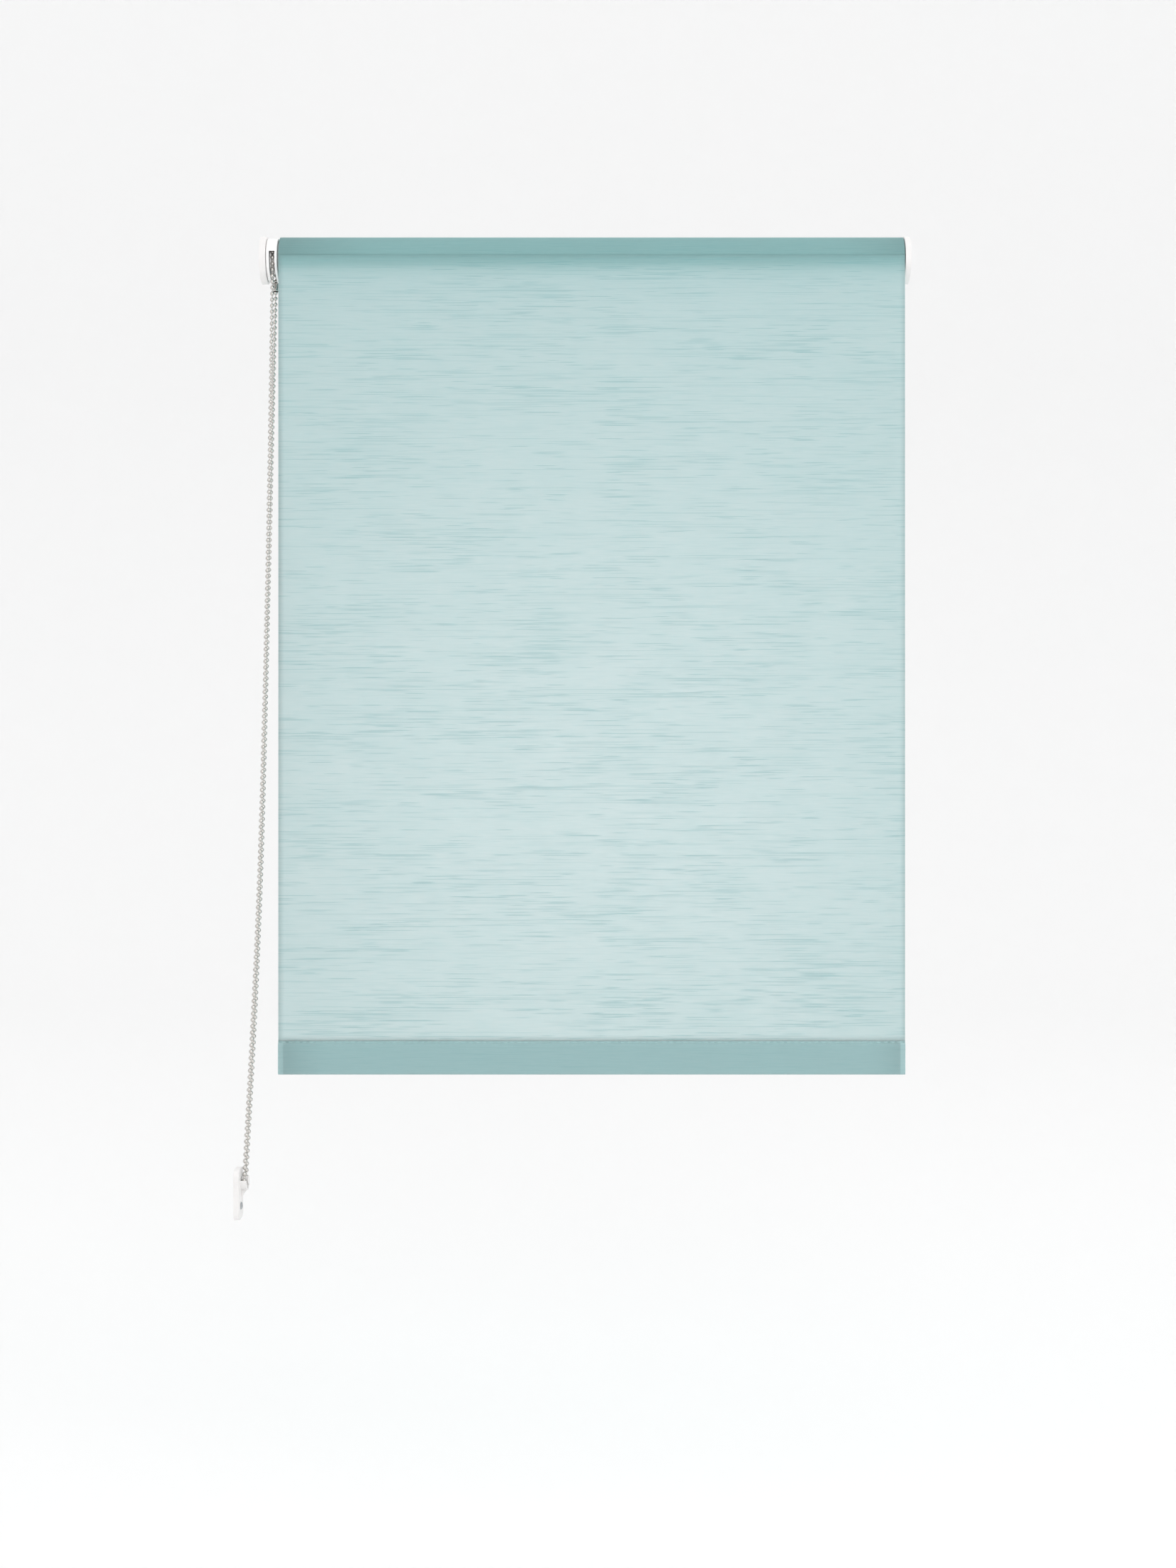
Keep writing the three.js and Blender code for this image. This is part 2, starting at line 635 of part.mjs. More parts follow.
function addTidy() {
  const { y, z } = tidyPost;
  const tidyBottom = tidyTop - tidyHeight;
  const plateFace = wallLeft + tidyThickness;
  const reach = wallLeft + tidyReach;
  const middle = tidyFront + tidyDepth / 2;
  const screwZ = tidyBottom + tidyScrewHeight;
  const cradleInner = tidyPostPitch + beadDiameter / 2 + chainRoom;
  const postRadius = tidyPostPitch - beadDiameter / 2 - chainRoom;
  const footRadius = postRadius - 2 * lap;

  // Back plate with round corners
  const plate = new THREE.Shape();
  const front = tidyFront + tidyCorner;
  const rear = tidyFront + tidyDepth - tidyCorner;
  plate.absarc(rear, tidyTop - tidyCorner, tidyCorner, 0, Math.PI / 2);
  plate.absarc(front, tidyTop - tidyCorner, tidyCorner, Math.PI / 2, Math.PI);
  plate.absarc(front, tidyBottom + tidyCorner, tidyCorner, Math.PI, 1.5 * Math.PI);
  plate.absarc(rear, tidyBottom + tidyCorner, tidyCorner, 1.5 * Math.PI, 2 * Math.PI);

  // Half-round cradle under the chain's loop, lower behind, where the strand leans back
  const cradle = new THREE.Shape();
  const rearEnd = 2 * Math.PI - 0.4;
  cradle.absarc(y, z, cradleInner + cradleWall, Math.PI, rearEnd);
  cradle.absarc(y, z, cradleInner, rearEnd, Math.PI, true);

  // A sloping web holds the cradle up from the plate.
  const webTop = z - cradleInner - cradleWall / 2;
  const web = new THREE.Shape([
    new THREE.Vector2(plateFace - lap, webTop),
    new THREE.Vector2(reach - webSetback, webTop),
    new THREE.Vector2(plateFace - lap, webTop - webDrop),
  ]);
  const webBody = new THREE.ExtrudeGeometry(web, { depth: webThickness, bevelEnabled: false });
  // The outline's own x and y become x and z.
  webBody.rotateX(Math.PI / 2).translate(0, y + webThickness / 2, 0);

  let base = join(
    drawn(plate, wallLeft, plateFace, 5),
    drawn(cradle, plateFace - lap, reach, 14),
    webBody,
  );
  base = cut(
    base,
    rod(wallLeft - overcut, plateFace + overcut, screwRadius + clearance, middle, screwZ, 16),
    rod(wallLeft + tidyPostWell, plateFace + overcut, footRadius + clearance, y, z, 20),
  );
  place('tidy_base', base, 'whitePlastic');

  const post = join(
    rod(wallLeft + tidyPostWell + clearance, plateFace + clearance + lap, footRadius, y, z, 20),
    rod(plateFace + clearance, reach + clearance, postRadius, y, z, 20),
    rod(reach - clearance, reach + tidyPostHead, postRadius + tidyPostLip, y, z, 20),
  );
  place('tidy_post', post, 'whitePlastic');

  const headLeft = plateFace + clearance;
  const screw = join(
    rod(wallLeft + clearance, headLeft + lap, screwRadius, middle, screwZ, 16),
    rod(headLeft, headLeft + screwHeadDepth, screwHeadRadius, middle, screwZ, 24),
  );
  const slot = box(headLeft + screwSlotFloor, headLeft + screwHeadDepth + overcut,
    middle - screwHeadRadius, middle + screwHeadRadius,
    screwZ - screwSlotWidth / 2, screwZ + screwSlotWidth / 2);
  place('tidy_screw', cut(screw, slot), 'zincSteel');
}

addBrackets();
addChainDrive();
addRoller();
addIdleEnd();
addFabric();
addChain();
addTidy();

export default group;
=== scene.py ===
import math

import bmesh
import bpy
from mathutils import Matrix, Vector


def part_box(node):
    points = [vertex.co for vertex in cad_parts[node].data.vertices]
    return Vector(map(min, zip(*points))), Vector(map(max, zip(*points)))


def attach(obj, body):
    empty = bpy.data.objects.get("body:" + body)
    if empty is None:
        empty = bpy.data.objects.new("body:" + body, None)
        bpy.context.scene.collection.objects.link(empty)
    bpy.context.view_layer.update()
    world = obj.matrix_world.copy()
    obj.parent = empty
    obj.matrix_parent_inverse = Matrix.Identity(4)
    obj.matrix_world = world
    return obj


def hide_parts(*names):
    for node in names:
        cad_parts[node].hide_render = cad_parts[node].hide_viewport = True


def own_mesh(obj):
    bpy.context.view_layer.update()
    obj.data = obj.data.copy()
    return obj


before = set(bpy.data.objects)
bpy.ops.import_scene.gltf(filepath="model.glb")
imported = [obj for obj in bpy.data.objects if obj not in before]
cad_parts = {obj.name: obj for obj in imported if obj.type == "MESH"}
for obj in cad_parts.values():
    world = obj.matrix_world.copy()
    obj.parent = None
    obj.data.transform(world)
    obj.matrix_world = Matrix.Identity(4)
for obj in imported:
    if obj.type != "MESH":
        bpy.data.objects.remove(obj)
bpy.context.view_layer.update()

# Roller blind: tube with rolled fabric, hanging panel, hem, chain drive and tidy.
# Metres, +X along the roller, +Z up, -Y towards the room.


def report(stage):
    print("blind:", stage, flush=True)


class Signal:
    # a socket, or a number, that Python's own signs work on
    def __init__(self, graph, socket):
        self.graph = graph
        self.socket = socket

    def maths(self, operation, *others):
        inputs = {i: other for i, other in enumerate((self, *others))}
        return self.graph.add("ShaderNodeMath", {"operation": operation}, inputs)

    def __add__(self, other):
        return self.maths("ADD", other)

    def __sub__(self, other):
        return self.maths("SUBTRACT", other)

    def __mul__(self, other):
        return self.maths("MULTIPLY", other)

    def __rsub__(self, other):
        return self.graph.add("ShaderNodeMath", {"operation": "SUBTRACT"}, {0: other, 1: self})

    __radd__ = __add__
    __rmul__ = __mul__


class Graph:
    def __init__(self, name):
        self.material = bpy.data.materials.new(name)
        self.material.use_nodes = True
        self.tree = self.material.node_tree
        self.tree.nodes.clear()

    def add(self, kind, settings=None, sockets=None, output=0):
        node = self.tree.nodes.new(kind)
        for key, value in (settings or {}).items():
            setattr(node, key, value)
        for key, value in (sockets or {}).items():
            socket = node.inputs[key]
            if isinstance(value, Signal):
                self.tree.links.new(value.socket, socket)
            elif socket.type == "RGBA" and len(value) == 3:
                socket.default_value = (*value, 1)
            else:
                socket.default_value = value
        return Signal(self, node.outputs[output]) if node.outputs else None

    def place(self):
        return self.add("ShaderNodeTexCoord", output="Object")

    def noise(self, vector, scale, detail=2):
        return self.add("ShaderNodeTexNoise", {}, {"Vector": vector, "Scale": scale, "Detail": detail})

    def stretched(self, vector, scale, location=(0, 0, 0)):
        return self.add("ShaderNodeMapping", {}, {"Vector": vector, "Scale": scale, "Location": location})

    def step(self, value, low, high):
        # 0 below low, 1 above high and smooth between
        settings = {"interpolation_type": "SMOOTHSTEP"}
        return self.add("ShaderNodeMapRange", settings, {"Value": value, "From Min": low, "From Max": high})

    def mix(self, factor, first, second):
        return self.add("ShaderNodeMix", {"data_type": "RGBA"}, {0: factor, 6: first, 7: second}, 2)

    def bump(self, height, distance, strength):
        sockets = {"Height": height, "Distance": distance, "Strength": strength}
        return self.add("ShaderNodeBump", {}, sockets)

    def principled(self, **sockets):
        names = {key.replace("_", " "): value for key, value in sockets.items()}
        return self.add("ShaderNodeBsdfPrincipled", {}, names)

    def finish(self, shader):
        self.add("ShaderNodeOutputMaterial", {}, {"Surface": shader})
        return self.material


def srgb(red, green, blue):
    def linear(level):
        level /= 255
        return level / 12.92 if level <= 0.04045 else ((level + 0.055) / 1.055) ** 2.4
    return linear(red), linear(green), linear(blue)


def shaded(colour, share):
    return tuple(min(1, level * share) for level in colour)


fabricLook = {
    "thread": (0.405, 0.655, 0.668),
    "slub": (0.20, 0.44, 0.455),
    "through": (1.0, 0.87, 0.855),
    "letThrough": 0.350,  # at each face of the cloth
    "slubLetThrough": 0.15,
    "threadPitch": 0.0005,
    "patches": (7, 22, 1),  # how many to the metre across and down
    "mottle": (45, 620, 1),
    "clouds": (14, 30, 1),
    "slubEdge": 0.12,  # from no slub to a full one
    "patchPull": 0.20,  # slubs come in patches
    "slubCover": 0.85,
    "mottleCover": 0.30,
    "weaveCover": 0.12,
    "roughness": 0.82,
    "sheen": 0.08,
    "streaks": (  # length, height, level it starts at, strength
        (0.080, 0.00110, 0.590, 0.58),
        (0.048, 0.00095, 0.610, 0.72),
        (0.140, 0.00085, 0.590, 0.48),
        (0.065, 0.00160, 0.645, 0.60),
    ),
    "rollShadow": 0.026,  # how far under the roll's middle the roll's painted shade reaches down the drop
    "paintedLightPastBar": 1.25,  # how much paler painted light makes the hem past the bar's ends
}


def fabric(name, fromUv=False, depth=(1, 1, 1), rollShadow=None, ends=None, slubby=1.0):
    # plain weave that lets light through, with thicker weft threads here and there; painted shade
    # darkens its roll, and the top of the drop, which hangs against the roll, where no light comes through
    # from behind
    look = fabricLook
    # painted shade: depth darkens the thread colour of the roll, which no light comes through from behind
    thread = tuple(level * share for level, share in zip(look["thread"], depth))
    g = Graph(name)
    spot = g.add("ShaderNodeUVMap", {"uv_map": "cloth"}) if fromUv else g.place()
    parts = {axis: g.add("ShaderNodeSeparateXYZ", {}, {"Vector": spot}, axis) for axis in "XYZ"}
    across = parts["X"]
    along = parts["Y"] if fromUv else parts["Z"]
    flat = g.add("ShaderNodeCombineXYZ", {}, {"X": across, "Y": along, "Z": 0.0})
    patches = g.noise(g.stretched(flat, look["patches"], (3.1, 7.7, 0)), 1.0)
    slubs = None
    for i, (length, height, level, strength) in enumerate(look["streaks"]):
        # each weft thread reads the noise along its own row, so a slub runs dead straight
        woven = along * (1 / height) + i * 0.37
        row = woven.maths("FLOOR")
        sockets = {"X": across * (1 / length), "Y": row * 7.31, "Z": i * 3.1}
        onRow = g.add("ShaderNodeCombineXYZ", {}, sockets)
        grain = g.noise(onRow, 1.0, 1)
        swell = ((woven - row) * math.pi).maths("SINE")
        grain = grain + (patches - 0.5) * look["patchPull"]
        found = g.step(grain, level, level + look["slubEdge"]) * swell * (strength * slubby)
        slubs = found if slubs is None else slubs.maths("MAXIMUM", found)
    waves = 2 * math.pi / look["threadPitch"]
    warp = (across * waves).maths("SINE")
    weft = (along * (waves * 1.08)).maths("SINE")
    weave = warp * weft * 0.5 + 0.5
    mottle = g.noise(g.stretched(flat, look["mottle"]), 1.0)
    cloudy = g.noise(g.stretched(flat, look["clouds"]), 1.0)
    plain = thread
    # painted shade: the top of the drop darkens towards the roll, which keeps the light from behind off it
    if rollShadow:
        over = g.step(parts["Z"], -look["rollShadow"], -0.001)
        plain = g.mix(over, thread, tuple(level * share for level, share in zip(thread, rollShadow)))
    if ends:
        # painted light: the hem is paler past the bar's two ends, where no bar stands behind it to keep off
        # the light from behind
        low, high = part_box(ends)
        out = (across - (low.x + high.x) / 2).maths("ABSOLUTE")
        end = (high.x - low.x) / 2
        past = g.step(out, end - 0.0006, end + 0.0008)
        plain = g.mix(past, thread, shaded(thread, look["paintedLightPastBar"]))
    shade = g.mix(slubs * look["slubCover"], plain, look["slub"])
    shade = g.mix(mottle * look["mottleCover"], shade, shaded(thread, 0.80))
    shade = g.mix(weave * look["weaveCover"], shade, shaded(thread, 0.60))
    normal = g.bump(slubs * 0.7 + weave * 0.3, 0.00012, 0.5)
    front = g.principled(Base_Color=shade, Roughness=look["roughness"], Normal=normal,
                         Sheen_Weight=look["sheen"])
    behind = g.add("ShaderNodeBsdfTranslucent", {}, {"Color": look["through"], "Normal": normal})
    share = slubs * (look["slubLetThrough"] - look["letThrough"]) + look["letThrough"]
    share = share - (mottle - 0.5) * 0.12 - (cloudy - 0.5) * 0.05
    return g.finish(g.add("ShaderNodeMixShader", {}, {0: share, 1: front, 2: behind}))


def mouldedPlastic(name, colour, roughness):
    g = Graph(name)
    spot = g.place()
    cloud = g.noise(spot, 90, 3)
    grain = g.noise(spot, 2600, 2)
    shade = g.mix(cloud, shaded(colour, 0.96), shaded(colour, 1.06))
    rough = cloud * 0.12 + (roughness - 0.06)
    normal = g.bump(grain * 0.7 + cloud * 0.3, 0.00004, 0.35)
    return g.finish(g.principled(Base_Color=shade, Roughness=rough, Normal=normal, IOR=1.48))


def platedMetal(name, colour, roughness, brushed=(1, 1, 1)):
    g = Graph(name)
    spot = g.place()
    streaks = g.noise(g.stretched(spot, brushed), 900, 3)
    stain = g.noise(spot, 140, 3)
    shade = g.mix(stain, shaded(colour, 0.88), colour)
    rough = streaks * 0.16 + (roughness - 0.08)
    normal = g.bump(streaks, 0.00002, 0.3)
    return g.finish(g.principled(Base_Color=shade, Metallic=1.0, Roughness=rough, Normal=normal))


def chainMetal(name):
    # nickel plate on rolled beads, duller in places
    g = Graph(name)
    spot = g.place()
    dull = g.noise(spot, 420, 3)
    shade = g.mix(dull, srgb(186, 183, 178), srgb(226, 223, 219))
    rough = g.step(dull, 0.35, 0.75) * 0.14 + 0.16
    normal = g.bump(g.noise(spot, 2200, 2), 0.00003, 0.4)
    return g.finish(g.principled(Base_Color=shade, Metallic=1.0, Roughness=rough, Normal=normal,
                                 Specular_Tint=(0.45, 0.45, 0.45, 1)))


white = mouldedPlastic("white moulding", srgb(236, 234, 233), 0.38)
# painted light: a paler copy of the white moulding, to lift the guard out of the shade between the cap and
# the roll
guardPaintedLight = mouldedPlastic("guard moulding", srgb(249, 248, 247), 0.42)
grey = mouldedPlastic("grey moulding", srgb(184, 187, 188), 0.5)
black = mouldedPlastic("black nylon", srgb(42, 43, 45), 0.5)
zinc = platedMetal("zinc plate", srgb(188, 192, 196), 0.32)
wire = platedMetal("spring wire", srgb(126, 128, 131), 0.3, (1, 6, 6))
extruded = platedMetal("extruded aluminium", srgb(200, 203, 206), 0.34, (0.04, 1, 1))
nickel = chainMetal("nickel beads")
# painted shade for the roll and for the top of the drop in front of it, where no light comes through from
# behind
rollPaintedShade = (0.74, 0.87, 0.86)
hanging = fabric("hanging fabric", rollShadow=rollPaintedShade)
rolled = fabric("rolled fabric", fromUv=True, depth=rollPaintedShade, slubby=0.4)
hemmed = fabric("hemmed fabric", ends="bottom_bar", slubby=0.3)
# painted light: the weld's dashes are paler than the cloth for the bright line that light makes along the
# weld
weldPaintedLight = mouldedPlastic("weld line", (0.52, 0.71, 0.72), 0.6)
report("materials")


def made(name, bm, finish, body, nodes=(), smooth=35):
    # a bmesh becomes a piece of the blind that stands for these parts of the frame
    mesh = bpy.data.meshes.new(name)
    bm.to_mesh(mesh)
    bm.free()
    mesh.polygons.foreach_set("use_smooth", [True] * len(mesh.polygons))
    mesh.set_sharp_from_angle(angle=math.radians(smooth))
    mesh.materials.append(finish)
    piece = bpy.data.objects.new(name, mesh)
    bpy.context.scene.collection.objects.link(piece)
    if nodes:
        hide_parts(*nodes)
    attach(piece, body)
    return piece


def outlined(bm, points):
    corners = [bm.verts.new(point) for point in points]
    pairs = zip(corners, corners[1:] + corners[:1])
    return corners, [bm.edges.new(pair) for pair in pairs]


def spun(bm, outline, steps, centre=(0, 0, 0), axis=(1, 0, 0)):
    # a closed outline of (along, radius) points, turned about the axis
    way = Vector(axis)
    out = Vector((0, 0, 1)) if abs(way.z) < 0.5 else Vector((1, 0, 0))
    points = [Vector(centre) + way * along + out * radius for along, radius in outline]
    corners, edges = outlined(bm, points)
    bmesh.ops.spin(bm, geom=corners + edges, cent=centre, axis=axis, angle=math.tau,
                   steps=steps, use_merge=True)
    bmesh.ops.remove_doubles(bm, verts=bm.verts[:], dist=1e-6)
    # an outline that starts and ends on the axis leaves its closing edge there
    bmesh.ops.delete(bm, geom=[e for e in bm.edges if not e.link_faces], context="EDGES")
    bmesh.ops.recalc_face_normals(bm, faces=bm.faces[:])


def rounded(bm, width, segments=3):
    # takes the sharp edges off
    least = math.radians(30)
    sharp = [e for e in bm.edges if len(e.link_faces) == 2 and e.calc_face_angle(0) > least]
    bmesh.ops.bevel(bm, geom=sharp, offset=width, offset_type="OFFSET", affect="EDGES",
                    segments=segments, profile=0.5, material=-1, clamp_overlap=True)


def combined(name, base, tool, operation, merged=True):
    # one solid from two, by an exact boolean; takes and gives a bmesh, with its flat faces merged
    # for a bevel, which leaves other faces of a big ring each run, so a ring goes without
    objects = []
    for bm in (base, tool):
        mesh = bpy.data.meshes.new(name)
        bm.to_mesh(mesh)
        bm.free()
        shape = bpy.data.objects.new(name, mesh)
        bpy.context.scene.collection.objects.link(shape)
        objects.append(shape)
    modifier = objects[0].modifiers.new("join", "BOOLEAN")
    modifier.operation = operation
    modifier.solver = "EXACT"
    modifier.object = objects[1]
    shape = objects[0].evaluated_get(bpy.context.evaluated_depsgraph_get())
    result = bmesh.new()
    result.from_mesh(shape.to_mesh())
    for shape in objects:
        mesh = shape.data
        bpy.data.objects.remove(shape)
        bpy.data.meshes.remove(mesh)
    if merged:
        bmesh.ops.dissolve_limit(result, angle_limit=math.radians(1), verts=result.verts[:],
                                 edges=result.edges[:])
    return result


def block(low, high):
    bm = bmesh.new()
    size = Vector(high) - Vector(low)
    middle = (Vector(high) + Vector(low)) / 2
    bmesh.ops.create_cube(bm, size=1, matrix=Matrix.Translation(middle) @ Matrix.Diagonal((*size, 1)))
    return bm


def drawn(points, x0, x1):
    # a [y, z] outline drawn out along X
    bm = bmesh.new()
    corners = [bm.verts.new((x0, y, z)) for y, z in points]
    face = bm.faces.new(corners)
    grown = bmesh.ops.extrude_face_region(bm, geom=[face])
    moved = [v for v in grown["geom"] if isinstance(v, bmesh.types.BMVert)]
    bmesh.ops.translate(bm, verts=moved, vec=(x1 - x0, 0, 0))
    bmesh.ops.recalc_face_normals(bm, faces=bm.faces[:])
    return bm


def arc(y, z, radius, start, end, steps):
    turns = [start + (end - start) * i / steps for i in range(steps + 1)]
    return [(y + radius * math.cos(a), z + radius * math.sin(a)) for a in turns]


cameraPlace = {"side": 0.0029, "away": 2.170, "height": -0.520, "lens": 50.14, "sensor": 36}

camera = bpy.data.cameras.new("camera")
camera.sensor_width = cameraPlace["sensor"]
camera.lens = cameraPlace["lens"]
cameraObject = bpy.data.objects.new("camera", camera)
cameraObject.location = (cameraPlace["side"], -cameraPlace["away"], cameraPlace["height"])
cameraObject.rotation_euler = (math.radians(90), 0, 0)
bpy.context.scene.collection.objects.link(cameraObject)
bpy.context.scene.camera = cameraObject


chain = {
    "across": 0.0045,
    "bead": 0.0042,  # a little under that, so that the gaps show
    "pitch": 0.0060,
    "link": 0.0010,
    "linkShare": 0.45,  # of the pitch
    "pockets": 14,  # in the wheel
    "plane": -0.3087,
    "settle": 0.0002,  # the last bead on the wheel stands in by this
}

frontRoute = [
    (-0.3087, -0.0134, -0.0103),
    (-0.3088, -0.0139, -0.030),
    (-0.3090, -0.0158, -0.060),
    (-0.3093, -0.0196, -0.120),
    (-0.3096, -0.0243, -0.180),
    (-0.3099, -0.0297, -0.240),
    (-0.3102, -0.0357, -0.300),
    (-0.3105, -0.0424, -0.360),
    (-0.3108, -0.0499, -0.420),
    (-0.3111, -0.0584, -0.480),
    (-0.3114, -0.0679, -0.540),
    (-0.3116, -0.0794, -0.600),
    (-0.3119, -0.0934, -0.660),
    (-0.3122, -0.1103, -0.720),
    (-0.3125, -0.1292, -0.780),
    (-0.3128, -0.1458, -0.830),
    (-0.3129, -0.1559, -0.860),
    (-0.3130, -0.1632, -0.8809),
]
loopRoute = [
    (-0.3130, -0.1637, -0.8821),
    (-0.3130, -0.1640, -0.8840),
    (-0.3130, -0.1636, -0.8861),
    (-0.3130, -0.1624, -0.8878),
    (-0.3130, -0.1607, -0.8890),
    (-0.3130, -0.1586, -0.8894),
    (-0.3130, -0.1565, -0.8890),
    (-0.3130, -0.1548, -0.8878),
    (-0.3130, -0.1539, -0.8867),
    (-0.3130, -0.1535, -0.8859),
]
rearRoute = [
    (-0.3130, -0.1531, -0.8847),
    (-0.3129, -0.1448, -0.8620),
    (-0.3128, -0.1372, -0.8410),
    (-0.3126, -0.1192, -0.7900),
    (-0.3123, -0.0997, -0.7300),
    (-0.3120, -0.0834, -0.6700),
    (-0.3117, -0.0696, -0.6100),
    (-0.3114, -0.0586, -0.5500),
    (-0.3111, -0.0498, -0.4900),
    (-0.3107, -0.0407, -0.4200),
    (-0.3104, -0.0315, -0.3500),
    (-0.3100, -0.0224, -0.2800),
    (-0.3097, -0.0133, -0.2100),
    (-0.3093, -0.0041, -0.1400),
    (-0.3090, 0.0050, -0.0700),
    (-0.3088, 0.0102, -0.0300),
    (-0.3087, 0.0128, -0.0103),
]


def smoothRoute(points, pieces=24):
    # a curve through every point, its bends eased by the distance between points
    knots = [Vector(p) for p in points]
    knots = [knots[0] * 2 - knots[1], *knots, knots[-1] * 2 - knots[-2]]
    line = []
    for a, b, c, d in zip(knots, knots[1:], knots[2:], knots[3:]):
        gaps = [max(1e-6, (q - p).length ** 0.5) for p, q in ((a, b), (b, c), (c, d))]
        before = ((b - a) / gaps[0] - (c - a) / (gaps[0] + gaps[1]) + (c - b) / gaps[1]) * gaps[1]
        after = ((c - b) / gaps[1] - (d - b) / (gaps[1] + gaps[2]) + (d - c) / gaps[2]) * gaps[1]
        for i in range(pieces):
            t = i / pieces
            line.append(
                b * (2 * t ** 3 - 3 * t ** 2 + 1) + before * (t ** 3 - 2 * t ** 2 + t)
                + c * (3 * t ** 2 - 2 * t ** 3) + after * (t ** 3 - t ** 2)
            )
    return [*line, knots[-2]]


def lengthOf(line):
    return sum((q - p).length for p, q in zip(line, line[1:]))


def spaced(line, places):
    # the points and directions at these distances along a line
    found, walked, i = [], 0.0, 0
    for place in places:
        while i < len(line) - 2 and walked + (line[i + 1] - line[i]).length < place:
            walked += (line[i + 1] - line[i]).length
            i += 1
        step = line[i + 1] - line[i]
        found.append((line[i] + step.normalized() * (place - walked), step.normalized()))
    return found


def repeated(bm, shape, matrices):
    # adds a small bmesh to another once for each matrix
    mesh = bpy.data.meshes.new("repeated")
    shape.to_mesh(mesh)
    shape.free()
    for matrix in matrices:
        mesh.transform(matrix)
        bm.from_mesh(mesh)
        mesh.transform(matrix.inverted())
    bpy.data.meshes.remove(mesh)


def facing(point, way):
    return Matrix.Translation(point) @ way.to_track_quat("Z", "X").to_matrix().to_4x4()


def addBeads(bm, spots):
    bead = bmesh.new()
    bmesh.ops.create_uvsphere(bead, u_segments=10, v_segments=6, radius=chain["bead"] / 2)
    repeated(bm, bead, [facing(point, way) for point, way in spots])


def addLinks(bm, spots):
    link = bmesh.new()
    bmesh.ops.create_cone(link, cap_ends=True, segments=6, radius1=chain["link"] / 2,
                          radius2=chain["link"] / 2, depth=chain["pitch"] * chain["linkShare"])
    places = [facing((start + end) / 2, end - start) for (start, _), (end, _) in zip(spots, spots[1:])]
    repeated(bm, link, places)


joinerShape = {"radius": 0.0030, "bore": 0.0026, "lip": 0.0006, "neck": 0.0014, "waist": 0.00012,
               "shy": 0.0002, "way": (0.005, 0.1305, 1)}


def makeJoiner():
    # a pressed barrel with rolled ends that slides along the rear strand
    low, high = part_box("chain_joiner")
    half = (high.z - low.z) / 2 - joinerShape["shy"]
    radius, lip, neck = joinerShape["radius"], joinerShape["lip"], joinerShape["neck"]
    upper = [(half - neck, radius - joinerShape["waist"]), (half - lip, radius),
             (half, radius - lip / 2), (half, joinerShape["bore"])]
    barrel = [(-along, out) for along, out in reversed(upper)] + upper
    bm = bmesh.new()
    spun(bm, barrel, 32, centre=(low + high) / 2, axis=Vector(joinerShape["way"]).normalized())
    return made("joiner_barrel", bm, nickel, "joiner", ["chain_joiner"])


def makeChain():
    strands = smoothRoute(frontRoute + loopRoute + rearRoute)
    wheelRadius = chain["pitch"] * chain["pockets"] / math.tau
    # the first bead below the wheel stands a whole number of pitches under its side
    first = 2 * chain["pitch"] + frontRoute[0][2]
    last = lengthOf(strands) - first
    count = round((last - first) / chain["pitch"])
    places = [first + (last - first) * i / count for i in range(count + 1)]
    bm = bmesh.new()
    spots = spaced(strands, places)
    addBeads(bm, spots)
    addLinks(bm, spots)
    length = lengthOf(strands)
    piece = made("bead_chain", bm, nickel, "fixed",
                 ["chain_front", "chain_loop", "chain_rear"], smooth=80)

    wrap = [Vector((chain["plane"], -wheelRadius, -chain["pitch"]))]
    turns = chain["pockets"] // 2
    for i in range(turns + 1):
        angle = math.pi * (1 - i / turns)
        wrap.append(Vector((chain["plane"], wheelRadius * math.cos(angle), wheelRadius * math.sin(angle))))
    wrap.append(Vector((chain["plane"], wheelRadius - chain["settle"], -chain["pitch"])))
    onWheel = [(point, (wrap[min(i + 1, len(wrap) - 1)] - wrap[max(i - 1, 0)]).normalized())
               for i, point in enumerate(wrap)]
    bm = bmesh.new()
    addBeads(bm, onWheel)
    addLinks(bm, [spots[0], *onWheel, spots[-1]])
    wheelPart = made("chain_on_wheel", bm, nickel, "fixed", ["chain_wrap"], smooth=80)

    joiner = makeJoiner()
    return length


chainLength = makeChain()
report("chain, %.3f m below the wheel" % chainLength)


cover = {"skin": 0.0014, "edge": 0.0011, "hole": 0.0081, "lip": 0.0088, "dishInner": 0.0098,
         "dishOuter": 0.0115, "dish": 0.0004, "steps": 96}


def makeCover(name, node, inwards):
    low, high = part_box(node)
    wall, face = (low.x, high.x) if inwards > 0 else (high.x, low.x)
    rim = (high.z - low.z) / 2
    skin, edge = cover["skin"], cover["edge"]
    points = [(wall, rim - skin), (wall, rim)]
    for i in range(7):
        angle = math.pi / 2 * i / 6
        points.append((face - inwards * edge * (1 - math.sin(angle)), rim - edge * (1 - math.cos(angle))))
    points += [
        (face - inwards * cover["dish"] / 2, cover["dishOuter"]),
        (face - inwards * cover["dish"], cover["dishInner"]),
        (face, cover["lip"]),
        (face, cover["hole"]),
        (face - inwards * skin, cover["hole"]),
        (face - inwards * skin, rim - skin),
    ]
    bm = bmesh.new()
    spun(bm, points, cover["steps"])
    return made(name, bm, white, "fixed", [node], smooth=28)


guard = {"wall": 0.0015, "bore": 0.0068, "mouth": 0.0149, "edge": 0.0012, "steps": 96,
         "slotAt": -0.3085, "slotWidth": 0.0057, "slotTop": 0.005}


